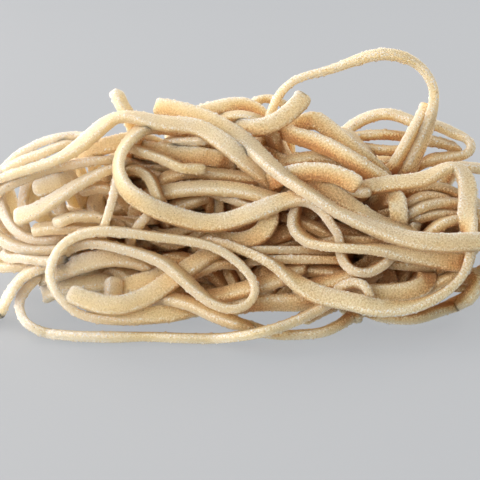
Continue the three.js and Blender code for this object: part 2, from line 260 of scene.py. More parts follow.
    (0.0, [(21.5,32.8,5,66), (24.5,32.5,3,68), (27,32.5,2.5,70)], "in", "round"),
    (-0.3, [(14,35.6,6,20), (18,33.6,4,18), (22,31,3.5,24), (26,28.4,3,36), (30,26.3,3,50), (34,24.8,3,58),
     (38,23.5,4,60)]),
    (-0.3, [(32.6,31.4,9,6), (33.8,31.3,6,4), (34.4,29.6,4,2), (34.5,27,3.2,0), (34.5,23.5,4)]),
    (-0.4, [(34.5,28.6,8,70), (37.5,30.5,6), (40.5,31.6), (43.5,31.4,6,72), (47,30,7)]),
    (-0.1, [(35.5,27.2,6,72), (38.5,28.8,4.5), (41.5,29.9), (45,30.2), (49,29.6,6)]),
    (-0.5, [(34.5,25.6,7,56), (38,26.8,5.5), (42,27.9,5), (46,28,5.5), (50,27,7)]),
    (-0.4, [(39,22,5,64), (41.5,24,3.5), (44,25.7,3.5,66), (47.5,26.8,5,68)]),
    (-0.2, [(37,32.6,8,60), (40.5,33.4,6.5), (44.5,33.2), (48,31.6,8)]),
    (0.1, [(47,38.3,12,72), (50,38,10), (54,37), (58,33,12)]),
    (0.0, [(51,31,6,60), (51.8,28,4), (52.6,25), (53.8,20), (54,15,5)]),
    (-0.5, [(25,11,5,-10), (28,10.8,2.5,-12), (33,10.8,2,-14), (37.5,11.4,2,-12), (40.2,12.8,3,-8),
     (40.6,15,5.5,0)]),
    (0.1, [(20.3,9.2,4,-56), (21.3,11,2.5,-60), (23,12.3,1.5,-62), (25.2,12.7,1.2,-64), (27.2,11.8),
     (28,9.8,2), (27.8,8,3.5)], "cut", "cut"),
    (-0.5, [(31,17.4,6,60), (35,17,4), (41,16.3), (47,14.8,5)]),
    (-0.5, [(38,10.8,6,50), (41,12,4.5), (44,13.6,4), (48,15.5,5)]),
]

# ---- Making the strands' lines ----
STEP = 2.0  # between a strand's nodes
END_LENGTH = {"in": (0.5, 1.3), "cut": (0.5, 0.9), "round": (1.5, 1.9)}  # of each kind of rounded end
LOOSEST = -0.8  # the hold of a run-in's last node
HIDDEN = 31  # strands of the rest of the heap
LOOPS = (1 / 34, 1 / 14)  # how fast they bend at first: in circles of 34 to 14 mm
TIGHT = 1 / 11  # where they start to straighten again


def smooth_line(points, step):
    """Rows every step mm along a Catmull-Rom curve through the given ones, which start with a place."""
    points = np.asarray(points, float)
    ends = np.vstack([2 * points[0] - points[1], points, 2 * points[-1] - points[-2]])
    t = np.linspace(0, 1, 24, endpoint=False)[:, None]
    dense = []
    for i in range(1, len(ends) - 2):
        a, b, c, d = ends[i - 1 : i + 3]
        twice = 2 * b + (c - a) * t + (2 * a - 5 * b + 4 * c - d) * t**2
        dense.append(0.5 * (twice + (3 * b - a - 3 * c + d) * t**3))
    dense = np.vstack(dense + [points[-1:]])
    run = distance_along(dense[:, :3])
    count = max(3, int(round(run[-1] / step)))
    return sample(dense, run, np.linspace(0, run[-1], count + 1))


def distance_along(line):
    return np.concatenate([[0], np.cumsum(np.linalg.norm(np.diff(line, axis=0), axis=1))])


def sample(rows, run, at):
    """The rows' values at each place in at, where run is each row's own place."""
    return np.stack([np.interp(at, run, column) for column in rows.T], axis=1)


def unit(v):
    return v / np.maximum(np.linalg.norm(v, axis=-1, keepdims=True), 1e-9)


def tangents(line):
    return unit(np.gradient(line, axis=0))


def square(width, along):
    """width without its part along the strand, at unit length."""
    return unit(width - (width * along).sum(1, keepdims=True) * along)


def turned_width(line, turn):
    """Each node's width direction for its turn from the eye."""
    along = tangents(line)
    facing = square(unit(EYE - line), along)
    aside = np.cross(facing, along)
    late = 16 * np.sin(np.radians(2 * turn))  # a boxy strand narrows late as it turns
    angle = np.radians(turn + late)[:, None]
    face = np.cos(angle) * facing + np.sin(angle) * aside
    return unit(np.cross(along, face))


def run_in(last, before):
    """The points of a hidden end: on past the strand's last point a little, then back and down into the heap,
    and towards its middle."""
    reach = random.uniform(16, 30)
    middle = np.array([0.72 * last[0] + random.uniform(-8, 8), last[1] + random.uniform(10, 20), 0.0])
    middle[2] = max(2.0, 0.62 * last[2] + random.uniform(-3, 3))
    bend = last + unit(last - before) * 0.35 * reach + np.array([0, 6.0, -0.5])
    t = np.linspace(0, 1, 14)[1:, None]
    return (1 - t) ** 2 * last + 2 * t * (1 - t) * bend + t**2 * middle


def with_run_in(rows):
    """A strand's rows, which end in turn and hold, with a hidden end added after the last."""
    extra = run_in(rows[-1, :3], rows[-3, :3])
    turn = np.full((len(extra), 1), rows[-1, 3])
    hold = LOOSEST * np.linspace(0, 1, len(extra))[:, None]
    return np.vstack([rows, np.hstack([extra, turn, hold])])


def shown_strand(tone, points, start="in", end="in"):
    """A strand that shows: its nodes, their width directions and hold, its tone, and its ends' lengths.
    The hold is 1 where a node keeps its place in the image, 0 and less along a run-in, and -1 in the strands
    of the rest of the heap."""
    full = [points[0]]
    for point in points[1:]:
        full.append(point + full[-1][len(point) :])
    rows = smooth_line([[*place(*spot), turn] for *spot, turn in full], STEP)
    rows = np.column_stack([rows, np.ones(len(rows))])
    if start == "in":
        rows = with_run_in(rows[::-1])[::-1]
    if end == "in":
        rows = with_run_in(rows)
    rows = smooth_line(rows, STEP)
    ends = [random.uniform(*END_LENGTH[kind]) for kind in (start, end)]
    return rows[:, :3], turned_width(rows[:, :3], rows[:, 3]), np.clip(rows[:, 4], LOOSEST, 1), tone, ends


# ---- The rest of the heap ----
def heap_height(x, y):
    """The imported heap's height over a point of the table: steep ends, a sloping front and back, and a slump
    to the right."""
    u = np.abs(x - PACKED_X) / PACKED_HALF
    v = np.abs(y) / (0.95 * HALF_DEPTH)
    left = np.clip(1 - u**4.5 - v**1.9, 0, 1)
    top = CROWN * (1 - 0.14 * np.sin(math.pi * x / (2 * HALF_LENGTH)))
    return top * left**0.8


# How high run-ins and hidden strands may stand in the picture plane: (across, up).
SKY = np.array([
    (-70, 20), (-62, 30), (-57, 28), (-52, 21), (-46, 24), (-40, 27), (-34, 31), (-28, 38), (-20, 43),
    (-8, 45), (4, 45), (8, 43), (10, 38.5), (15, 38.5), (18, 38.5), (24, 40), (34, 40), (38, 37), (42, 33),
    (46, 27), (50, 23), (56, 22), (60, 24), (70, 16)]).T


def wander(count):
    """The plan of a strand that wanders in loops, and turns back where it nears the heap's outline."""
    angle = random.uniform(0, 2 * math.pi)
    reach = random.uniform(0.25, 0.85)
    at = np.array([PACKED_X + PACKED_HALF * reach * math.cos(angle), HALF_DEPTH * reach * math.sin(angle)])
    heading = random.uniform(0, 2 * math.pi)
    bend = random.choice([-1, 1]) * random.uniform(*LOOPS)
    plan = []
    for _ in range(count):
        out = ((at[0] - PACKED_X) / PACKED_HALF) ** 4 + (at[1] / HALF_DEPTH) ** 2
        inward = math.atan2(-at[1] / HALF_DEPTH**2, (PACKED_X - at[0]) / PACKED_HALF**2)
        off = (inward - heading + math.pi) % (2 * math.pi) - math.pi
        steer = np.clip((out - 0.55) * 2.5, 0, 1) * np.clip(off, -1, 1) / 9
        bend += random.normal(0, 0.0035) - 0.02 * (abs(bend) > TIGHT) * bend
        heading += STEP * (bend + steer)
        at = at + STEP * np.array([math.cos(heading), math.sin(heading)])
        plan.append(at)
    return np.array(plan)


def sway(count, slow, fast):
    """A wave of unit height along count nodes, with between slow and fast radians in it."""
    return np.sin(np.linspace(0, random.uniform(slow, fast), count) + random.uniform(0, 6))


def hidden_strand(layer, length, stands):
    """A strand of the rest of the heap: it wanders within the outline, at about layer times the height there.
    stands is how far it is turned up from lying flat, in degrees."""
    count = int(length / STEP)
    plan = wander(count)
    drift = layer + 0.08 * sway(count, 2, 7)
    z = np.clip(drift, 0.02, 1.0) * heap_height(plan[:, 0], plan[:, 1]) + THICK
    for _ in range(6):
        z[1:-1] = (z[:-2] + 2 * z[1:-1] + z[2:]) / 4
    line = np.column_stack([plan, z])
    along = tangents(line)
    flat = unit(np.cross([0.0, 0.0, 1.0], along))
    up = np.cross(along, flat)
    roll = np.radians(stands + 25 * sway(count, 3, 9))
    width = np.cos(roll)[:, None] * flat + np.sin(roll)[:, None] * up
    return line, unit(width), np.full(count, -1.0), random.normal(0, 0.25), random.uniform(0.5, 1.5, 2)


def all_strands():
    """The strands that show, then the rest from the lowest layer to the highest."""
    made = [shown_strand(*s) for s in STRANDS]
    for i in range(HIDDEN):
        layer = 0.04 + 0.96 * ((i + 0.5) / HIDDEN) ** 0.62
        made.append(hidden_strand(layer, random.uniform(150, 260), random.choice([0, 0, 30, 60, 85])))
    return made


# ---- Settling ----
ROUNDS = 160
BALL = 1.04  # the radius of the balls that stand for a strand's width, three at each node
SIDE = WIDE - BALL  # how far the outer two stand from the middle one
RELIST = 4  # rounds between two lists of the balls that may touch
MARGIN = 0.9  # the most space between the balls of a listed pair
EAGER = 1.3  # how much of an overlap one push takes away
HOLD = 0.9  # how much of the way a held node goes back to its line of sight in a round
HOLD_TURN = 0.5  # and its width direction to its own
SAG = 0.25  # how far a free node may stand off the middle of its neighbours
UNBEND = 0.7  # how much of what it stands off beyond that goes in one step
GRAVITY = 0.12  # how far hidden strands sink in the first round
BEHIND = 8.5  # how far behind the heap's front the hidden strands stay
# The lowest that hidden strands show in the picture plane: (across, up).
FOOT = np.array([
    (-66, 15), (-58, 15), (-50, 15), (-46, 14.5), (-40, 13), (-36, 10), (-8, 9.5), (2, 9), (12, 9), (22, 9),
    (32, 10), (40, 11), (46, 15), (52, 21), (66, 24)]).T


def close_pairs(balls, strand, order, reach):
    """Every pair of balls nearer than reach that isn't of neighbouring nodes of one strand."""
    cell = np.floor(balls / reach).astype(np.int64)
    cell -= cell.min(0) - 1
    span = cell.max(0) + 2
    key = (cell[:, 0] * span[1] + cell[:, 1]) * span[2] + cell[:, 2]
    rank = np.argsort(key, kind="stable")
    key = key[rank]
    shifts = [(i * span[1] + j) * span[2] + k for i in (-1, 0, 1) for j in (-1, 0, 1) for k in (-1, 0, 1)]
    found = []
    for shift in (shift for shift in shifts if shift >= 0):
        low = np.searchsorted(key, key + shift, "left")
        high = np.searchsorted(key, key + shift, "right")
        if shift == 0:
            low = np.arange(len(key)) + 1
        many = np.maximum(high - low, 0)
        first = np.repeat(np.arange(len(key)), many)
        start = np.cumsum(many) - many
        second = np.repeat(low - start, many) + np.arange(many.sum())
        found.append(np.stack([rank[first], rank[second]]))
    a, b = np.concatenate(found, axis=1)
    near = ((balls[a] - balls[b]) ** 2).sum(1) < reach**2
    apart = (strand[a] != strand[b]) | (np.abs(order[a] - order[b]) > 3)
    return a[near & apart], b[near & apart]


def add_at(size, where, amounts):
    return np.stack([np.bincount(where, amounts[:, k], size) for k in range(3)], axis=1)


def chained(strands):
    """All the strands' nodes in one set of arrays, with the lengths, bends and places that settling keeps."""
    c = SimpleNamespace()
    c.line, c.width = np.vstack([s[0] for s in strands]), np.vstack([s[1] for s in strands])
    c.rest, c.rest_width = c.line.copy(), c.width.copy()
    c.sizes = [len(s[0]) for s in strands]
    strand = np.repeat(np.arange(len(strands)), c.sizes)
    order = np.concatenate([np.arange(n) for n in c.sizes])
    c.ball_strand, c.ball_order = np.repeat(strand, 3), np.repeat(order, 3)
    index = np.arange(len(strand))
    same = strand[:-1] == strand[1:]
    c.after, c.before = index + np.append(same, False), index - np.insert(same, 0, False)
    c.linked = np.flatnonzero(c.after > index)
    c.inner = np.flatnonzero((c.after > index) & (c.before < index))
    c.gap = np.linalg.norm(c.rest[c.linked + 1] - c.rest[c.linked], axis=1)
    c.curve = c.rest[c.inner + 1] - 2 * c.rest[c.inner] + c.rest[c.inner - 1]
    c.sight = unit(c.rest - EYE)
    held = np.concatenate([s[2] for s in strands])
    c.free, c.hidden, c.buried = held < 0.9, held < -0.9, held < 0
    c.sunk = -held[c.buried]
    c.grip = np.clip(held, 0, 1)[:, None]
    easy = np.where(c.hidden, 1.0, 0.25 + 0.75 * (1 - c.grip[:, 0]))  # how readily each node gives way
    c.easy = np.repeat(easy, 3)
    return c


def keep_shape(c):
    """One step of each strand back to its length and its own bends, with no sharp bend where it is free."""
    line, linked, inner = c.line, c.linked, c.inner
    span = line[linked + 1] - line[linked]
    length = np.linalg.norm(span, axis=1, keepdims=True)
    pull = span * (0.25 * (1 - c.gap[:, None] / np.maximum(length, 1e-6)))
    line[linked] += pull
    line[linked + 1] -= pull
    error = line[inner + 1] - 2 * line[inner] + line[inner - 1] - c.curve
    moved = np.zeros_like(line)
    moved[inner] += error / 4
    moved[inner - 1] -= error / 8
    moved[inner + 1] -= error / 8
    line += 0.8 * moved
    sag = (line[inner + 1] + line[inner - 1]) / 2 - line[inner]
    deep = np.linalg.norm(sag, axis=1)
    over = np.clip(deep - SAG, 0, 3) / np.maximum(deep, 1e-6) * c.free[inner]
    line[inner] += UNBEND * over[:, None] * sag


def push_apart(c, balls, a, b):
    """Each ball moves so that the pairs a, b stop overlapping and none is under the table. Each node moves as
    its three balls do, and its width direction turns with the outer two."""
    apart = balls[a] - balls[b]
    distance = np.linalg.norm(apart, axis=1)
    hit = distance < 2 * BALL
    a, b = a[hit], b[hit]
    depth = 2 * BALL - distance[hit]
    push = apart[hit] / np.maximum(distance[hit], 1e-6)[:, None] * depth[:, None]
    share = (c.easy[a] / (c.easy[a] + c.easy[b]))[:, None]
    moved = add_at(len(balls), a, push * share) - add_at(len(balls), b, push * (1 - share))
    met = np.bincount(a, None, len(balls)) + np.bincount(b, None, len(balls))
    moved = moved * (EAGER / np.maximum(met, 1))[:, None]
    moved[:, 2] += np.maximum(BALL - balls[:, 2], 0)
    moved = moved.reshape(-1, 3, 3)
    touched = (np.abs(moved).sum(2) > 0).sum(1)
    c.line += moved.sum(1) / np.maximum(touched, 1)[:, None]
    c.width += 0.5 * (moved[:, 2] - moved[:, 0]) / (2 * SIDE)


def hold_places(c):
    """Held nodes go back to their line of sight, and their width directions to their own."""
    off = c.line - c.rest
    along_sight = (off * c.sight).sum(1, keepdims=True) * c.sight
    c.line -= HOLD * c.grip * (off - along_sight)
    c.width += HOLD_TURN * c.grip * (c.rest_width - c.width)


def keep_inside(c):
    """Run-ins and hidden strands stay under the sky line, and hidden strands behind the front, off the bare
    table and inside the outline."""
    flat = picture(c.line[c.buried])
    above = flat[:, 1] - np.interp(flat[:, 0], *SKY)
    c.line[c.buried, 2] -= c.sunk * np.clip(above, 0, 1)
    p = c.line[c.hidden]
    flat = picture(p)
    ahead = front(flat[:, 0], np.clip(flat[:, 1], 1, 52)) + BEHIND - p[:, 1]
    p[:, 1] += np.clip(ahead, 0, 1.0) * (flat[:, 1] > 3)
    below = np.interp(flat[:, 0], *FOOT) - flat[:, 1]
    p[:, 1] += np.clip(2 * below, 0, 2.0)
    out = (np.abs(p[:, 0] - PACKED_X) / PACKED_HALF) ** 4 + (np.abs(p[:, 1]) / HALF_DEPTH) ** 3
    p[:, :2] -= np.clip(out - 0.9, 0, 1)[:, None] * (p[:, :2] - [PACKED_X, 0]) * 0.1
    p[:, 2] = np.maximum(p[:, 2], BALL)
    c.line[c.hidden] = p


def smooth_widths(c):
    """Width directions even out along each strand, and stay square to it."""
    c.width[c.inner] = 0.7 * c.width[c.inner] + 0.15 * (c.width[c.inner - 1] + c.width[c.inner + 1])
    c.width = square(c.width, unit(c.line[c.after] - c.line[c.before]))


def settle(strands):
    """Moves the strands' nodes until few run through each other, and returns each strand's line, width
    directions, tone and ends."""
    c = chained(strands)
    side = np.tile([-SIDE, 0.0, SIDE], len(c.line))[:, None]
    for turn in range(ROUNDS):
        c.line[c.hidden, 2] -= GRAVITY * (1 - turn / ROUNDS) ** 1.5
        for _ in range(2):
            keep_shape(c)
        balls = np.repeat(c.line, 3, axis=0) + side * np.repeat(c.width, 3, axis=0)
        if turn % RELIST == 0:
            a, b = close_pairs(balls, c.ball_strand, c.ball_order, 2 * BALL + MARGIN)
        push_apart(c, balls, a, b)
        hold_places(c)
        keep_inside(c)
        smooth_widths(c)
    cuts = np.cumsum(c.sizes)[:-1]
    parts = zip(np.split(c.line, cuts), np.split(c.width, cuts), strands)
    return [(line, width, *s[3:]) for line, width, s in parts]


# ---- How deep in the heap a place is ----
CELL = 1.5  # the side of the grid's cells
WAYS = [np.array((x, y, z)) for x in (-1, 0, 1) for y in (-1, 0, 1) for z in (0, 1) if (x, y, z) != (0, 0, 0)]
WAYS = [way / np.linalg.norm(way) for way in WAYS]
LOOK = 2  # from one place to the next where what stands in a way is counted
LOOKS = (4, 6, 8, 10, 12)  # how far along the way those places are
AROUND = 14  # how far the grid reaches past the strands
SHADE = 0.4  # how much light a full mm of strands holds back


def density_grid(settled):
    """How full of strands the space round each cell is, with the grid's lowest corner."""
    nodes = np.vstack([s[0] for s in settled])
    width = np.vstack([s[1] for s in settled])
    balls = np.vstack([nodes + side * width for side in (-SIDE, 0, SIDE)])
    corner = balls.min(0) - AROUND
    shape = ((balls.max(0) - corner + AROUND) / CELL).astype(int) + 1
    cell = ((balls - corner) / CELL).astype(int)
    volume = STEP * 4 * WIDE * THICK / 3 / CELL**3  # of a third of a node's stretch of strand, in cells
    grid = np.bincount(np.ravel_multi_index(cell.T, shape), None, shape.prod()).reshape(shape) * volume
    for axis in range(3):
        grid = sum(np.roll(grid, k, axis) for k in (-1, 0, 1)) / 3
    return grid, corner


def fullness(places, density):
    """The grid's value at each place: 0 in the open, and about 0.5 inside."""
    grid, corner = density
    cell = np.clip(((places - corner) / CELL).astype(int), 0, np.array(grid.shape) - 1)
    return grid[cell[..., 0], cell[..., 1], cell[..., 2]]


def way_out(places, way, density):
    """How much of the light along a way reaches each place."""
    met = sum(fullness(places + d * way, density) * LOOK for d in LOOKS)
    return np.exp(-SHADE * met)


def openness(ring, out, density):
    """How much light reaches each point of a strand's rings, half of it along the point's own way out."""
    straight = 0.5 * way_out(ring, out, density)
    return straight + sum(0.5 / len(WAYS) * way_out(ring, unit(out + 0.8 * way), density) for way in WAYS)


# ---- Meshes ----
CORNER = 0.36  # how much of a section's corners is cut off
FLAT = 1.25  # half the face that stays flat
TEETH = 0.24  # how far the ragged corners stand out
PITS = 0.03  # how uneven the faces are; the finer grain is in the material
END_RINGS = 5  # in each rounded end
CLEAR = 0.02  # between the strands and the table


def section():
    """A flat strand's outline: its points, the way out at each, and how near the rim each is."""
    below, above = (WIDE, THICK - CORNER, 0.9, 0.45, 0.9), (WIDE - CORNER, THICK, 0.45, 0.9, 1.0)
    quarter = np.array([below, above, (FLAT, THICK, 0, 1, 0)])
    half = np.vstack([(WIDE, 0, 1, 0, 0.3), quarter, quarter[::-1] * (-1, 1, -1, 1, 1)])
    return np.vstack([half, half * (-1, -1, -1, -1, 1)]).T


OUTLINE = section()
SIDES = OUTLINE.shape[1]
EDGES = np.linalg.norm(np.diff(OUTLINE[:2], axis=1, append=OUTLINE[:2, :1]), axis=0)
GIRTH = np.concatenate([[0], np.cumsum(EDGES)])  # the distance round the outline to each point, and all round


def noise_along(run, wave, rows=1):
    """Smooth random numbers of about unit size at each distance along a strand, as columns."""
    knots = random.normal(0, 1, (int(run[-1] / wave) + 5, rows))
    at = run / wave + random.uniform(0, 1)
    i = at.astype(int)
    f = (at - i)[:, None]
    f = f * f * (3 - 2 * f)
    return knots[i] * (1 - f) + knots[i + 1] * f


def resample(nodes, fine, coarse):
    """The nodes' smooth line in fine steps where the last column is 0 and coarse ones where it is 1."""
    dense = smooth_line(nodes, 0.1)
    step = fine + (coarse - fine) * np.clip(dense[:, -1], 0, 1)
    progress = np.cumsum(0.1 / step)
    return sample(dense, progress, np.linspace(progress[0], progress[-1], int(progress[-1]) + 2))


def end_rings(ring, centre, along, width, face, length):
    """Rings that close a strand with a cut whose corners are rounded, length mm long."""
    off = ring - centre
    made = []
    for d in (0.3, 0.6, 0.82, 0.95, 1.0):
        wide, thick = max(math.sqrt(1 - d**3), 0.15), max(math.sqrt(1 - d**6), 0.15)
        across = (off @ width)[:, None] * width * wide
        through = (off @ face)[:, None] * face * thick
        made.append(centre + across + through + d * length * along)
    return made


def body_rings(line, width, face, run):
    """Rings round a strand, with ragged rims and uneven faces, and how pale each point is with dusting and
    painted highlight on the rims and teeth.
    """
    x, y, out_x, out_y, rim = OUTLINE
    wide = x * (1 + 0.03 * noise_along(run, 9))
    thick = y * (1 + 0.05 * noise_along(run, 7))
    rough = noise_along(run, 0.45, SIDES)
    tooth = rim * np.clip(rough - 0.6, 0, 1)
    out = np.where(rim > 0.5, TEETH * tooth, PITS * rough)
    wide, thick = wide + out * out_x, thick + out * out_y
    ring = line[:, None] + wide[:, :, None] * width[:, None] + thick[:, :, None] * face[:, None]
    # the rims, and the teeth most, are paler: partly dusting, partly painted highlight
    return ring, 0.4 * rim + 0.8 * tooth


def strand_rings(line, width, deep, ends, fine, coarse):
    """All of a strand's rings, its line at each, their distance along it and how pale each point is with
    dusting and painted highlight.
    """
    rows = resample(np.column_stack([line, width, deep]), fine, coarse)
    line, along = rows[:, :3], tangents(rows[:, :3])
    width = square(rows[:, 3:6], along)
    face = np.cross(width, along)
    run = distance_along(line)
    ring, dust_and_highlight = body_rings(line, width, face, run)
    start = end_rings(ring[0], line[0], -along[0], width[0], face[0], ends[0])[::-1]
    end = end_rings(ring[-1], line[-1], along[-1], width[-1], face[-1], ends[1])
    part = np.linspace(0.2, 1, END_RINGS)
    run = np.concatenate([-ends[0] * part[::-1], run, run[-1] + ends[1] * part])
    middle = np.concatenate([[line[0]] * END_RINGS, line, [line[-1]] * END_RINGS])
    dust_and_highlight = np.concatenate([dust_and_highlight[:1]] * END_RINGS + [dust_and_highlight] + [dust_and_highlight[-1:]] * END_RINGS)
    return np.concatenate([start, ring, end]), middle, run + ends[0], dust_and_highlight


def ring_quads(counts):
    """The quads between the rings of each strand, as corner numbers, and each strand's two end faces."""
    quads, caps, first = [], [], 0
    for count in counts:
        i, j = np.meshgrid(np.arange(count - 1), np.arange(SIDES), indexing="ij")
        k = (j + 1) % SIDES
        quad = np.stack([i * SIDES + j, i * SIDES + k, (i + 1) * SIDES + k, (i + 1) * SIDES + j], axis=-1)
        quads.append(quad.reshape(-1, 4) + first)
        caps += [first + np.arange(SIDES)[::-1], first + (count - 1) * SIDES + np.arange(SIDES)]
        first += count * SIDES
    return np.concatenate(quads), caps


def unwrap(mesh, quads, caps, runs):
    """A UV map for baking: the strands end to end, cut into rows of strips that fill a square."""
    total = np.cumsum([0] + [run[-1] + 1 for run in runs])  # with 1 mm between the strands
    height = 4 * (WIDE + THICK) + 0.8  # of a row, more than the girth
    side = math.sqrt(total[-1] * height)
    rows = math.ceil(total[-1] / side)
    along = np.concatenate([run + start for run, start in zip(runs, total)])

    def spots(ring, corner, first):
        row = np.floor(along[first] / side)
        u = (along[ring] - row * side) / (side + 4)
        v = (row * height + GIRTH[corner] + 0.2) / (rows * height)
        return np.stack([u, v], axis=-1).reshape(-1, 2)

    ring, corner = quads // SIDES, quads % SIDES
    last = (corner[:, 1:2] == 0) & (corner[:, :1] == SIDES - 1)
    corner = np.where(last & (corner == 0), SIDES, corner)
    ends = np.concatenate(caps)
    flat = [spots(ring, corner, ring[:, :1]), spots(ends // SIDES, ends % SIDES, ends // SIDES)]
    layer = mesh.uv_layers.new(name="OFBake")
    layer.uv.foreach_set("vector", np.concatenate(flat).astype(np.float32).ravel())


def add_object(name, data):
    made = bpy.data.objects.new(name, data)
    bpy.context.scene.collection.objects.link(made)
    return made


def new_piece(name, mesh, material):
    """A piece of the heap."""
    mesh.materials.append(material)
    mesh.shade_smooth()
    piece = add_object(name, mesh)
    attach(piece, "root")
    return piece


SHOWN_STEPS = 0.25, 1.0  # from ring to ring where a strand shows, and where it is unseen
OTHER_STEPS = 0.6, 1.2
SEEN, UNSEEN = 0.55, 0.35  # the light at which a strand counts as each
PALE_LEFT = 0.08  # how much paler the heap's left end is, where light comes through from behind
DEPTH_X = [-42, -18, 0, 30]  # along the heap
DEPTH = [0.0, 0.5, 0.8, 1.0]  # painted shade: how much browner the dough's colour is there where no way out is open
LIT_FACING = np.array([-0.6, 0.1, 0.79])  # the way that the palest sides face, towards the lamps at the upper left: painted light
PLAIN = 0.6  # the tone of an open strand


def tones(ring, middle, run, tone, density):
    """How pale each point of a strand is: 0 is brown and 1 nearly white. It holds the strand's own tone,
    painted light on the sides that face the lamps and at the left end, and painted shade where little light
    reaches.
    """
    out = unit(ring - middle[:, None])
    # browner where little light reaches it: painted shade
    depth = np.interp(middle[:, :1], DEPTH_X, DEPTH) * (1 - openness(ring, out, density))
    uneven = 0.03 * noise_along(run, 11) + 0.02 * noise_along(run, 3)
    left = np.interp(middle[:, :1], DEPTH_X[:2], [PALE_LEFT, 0])
    # paler on the sides that face the lamps at the upper left, and at the left end: painted light
    return PLAIN + 0.1 * tone + 0.17 * out @ LIT_FACING - depth + left + uneven


def strand_mesh(name, points, runs):
    """A mesh of all the strands' rings from their points in millimetres, with none under the table."""
    points[:, 2] = np.maximum(points[:, 2], CLEAR)
    quads, caps = ring_quads([len(run) for run in runs])
    mesh = bpy.data.meshes.new(name)
    mesh.from_pydata((points * MM).tolist(), [], [*quads.tolist(), *caps])
    unwrap(mesh, quads, caps, runs)
    return mesh


def store(mesh, name, kind, field, values):
    layer = mesh.attributes.new(name, kind, "POINT")
    layer.data.foreach_set(field, np.concatenate(values).astype(np.float32).ravel())


def build(name, strands, density, fine, coarse, material):
    """One piece of many strands, whose points know their place on them, how pale their rims are with dusting
    and painted highlight, and their tone with painted light and shade.
    """
    points, runs, spots, pale, rims = [], [], [], [], []
    for number, (line, width, tone, ends) in enumerate(strands):
        light = np.max([way_out(line, way, density) for way in WAYS], axis=0)
        deep = 1 - (light - UNSEEN) / (SEEN - UNSEEN)
        ring, middle, run, dust_and_highlight = strand_rings(line, width, deep, ends, fine, coarse)
        points.append(ring.reshape(-1, 3))
        runs.append(run)
        rims.append(dust_and_highlight.ravel())
        spot = np.broadcast_arrays(run[:, None], GIRTH[None, :SIDES], 40.0 * number)
        spots.append(np.stack(spot, axis=-1).reshape(-1, 3))
        pale.append(tones(ring, middle, run, tone, density).ravel())
    mesh = strand_mesh(name, np.concatenate(points), runs)
    store(mesh, "tone", "FLOAT", "value", pale)
    store(mesh, "rim", "FLOAT", "value", rims)
    store(mesh, "spot", "FLOAT_VECTOR", "vector", spots)
    new_piece(name, mesh, material)


# ---- Materials ----
DOUGH = [
    (0.00, (0.60, 0.31, 0.13)), (0.25, (0.81, 0.51, 0.25)), (0.50, (0.92, 0.67, 0.37)),
    (0.75, (0.96, 0.78, 0.53)), (1.00, (0.98, 0.93, 0.86))]
BRAN = (0.36, 0.20, 0.08)


def new_material(name, settings):
    """A material and its shader, with the given values on the shader's sockets."""
    material = bpy.data.materials.new(name)
    material.use_nodes = True
    shader = material.node_tree.nodes["Principled BSDF"]
    for socket, value in settings.items():
        shader.inputs[socket].default_value = value
    return material, shader


def node(tree, kind, vector=None, **inputs):
    """A new node with the given values, and another node's output on its Vector socket."""
    made = tree.nodes.new(kind)
    for name, value in inputs.items():
        made.inputs[name].default_value = value
    if vector:
        tree.links.new(vector, made.inputs["Vector"])
    return made


def attribute(tree, name, output):
    made = tree.nodes.new("ShaderNodeAttribute")
    made.attribute_name = name
    return made.outputs[output]


def maths(tree, operation, *values):
    """A Math node's output. Each value is a number or another node's output."""
    made = tree.nodes.new("ShaderNodeMath")
    made.operation = operation
    for value, socket in zip(values, made.inputs):
        if isinstance(value, bpy.types.NodeSocket):
            tree.links.new(value, socket)
        else:
            socket.default_value = value
    return made.outputs[0]


def map_range(tree, value, low, high, to_low, to_high):
    """value from the range low to high moved to the range to_low to to_high, and kept in it."""
    made = tree.nodes.new("ShaderNodeMapRange")
    for name, number in zip(("From Min", "From Max", "To Min", "To Max"), (low, high, to_low, to_high)):
        made.inputs[name].default_value = number
    tree.links.new(value, made.inputs["Value"])
    return made.outputs["Result"]


def dough_colour(tree, grain, space):
    """The colour of the dough, paler on the grains, most at the heap's right end, and on the rims with
    dusting and painted highlight. Its tone holds painted light and shade.
    """
    tone, rim = attribute(tree, "tone", "Fac"), attribute(tree, "rim", "Fac")
    side = node(tree, "ShaderNodeSeparateXYZ", space)
    grit = map_range(tree, side.outputs["X"], -0.03, 0.02, 0.4, 1.0)
    spread = map_range(tree, grain, 0.46, 0.64, 0.02, 0.55)
    dust_and_highlight_tone = maths(tree, "MULTIPLY_ADD", rim, spread, tone)
    swing = maths(tree, "MULTIPLY", maths(tree, "SUBTRACT", grain, 0.5), grit)
    dough = tree.nodes.new("ShaderNodeValToRGB")
    for index, (position, colour) in enumerate(DOUGH):
        stop = dough.color_ramp.elements[index] if index < 2 else dough.color_ramp.elements.new(position)
        stop.position, stop.color = position, (*colour, 1)
    tree.links.new(maths(tree, "ADD", dust_and_highlight_tone, swing), dough.inputs["Fac"])
    shaded = tree.nodes.new("ShaderNodeHueSaturation")
    tree.links.new(maths(tree, "ADD", swing, 0.95), shaded.inputs["Value"])
    tree.links.new(dough.outputs["Color"], shaded.inputs["Color"])
    return shaded.outputs["Color"]


def with_bran(tree, colour, space):
    """colour with a few specks of bran."""
    bran = node(tree, "ShaderNodeTexVoronoi", space, Scale=420.0)
    made = tree.nodes.new("ShaderNodeMix")
    made.data_type = "RGBA"
    tree.links.new(map_range(tree, bran.outputs["Distance"], 0.09, 0.05, 0, 0.6), made.inputs["Factor"])
    tree.links.new(colour, made.inputs[6])
    made.inputs[7].default_value = (*BRAN, 1)
    return made.outputs[2]


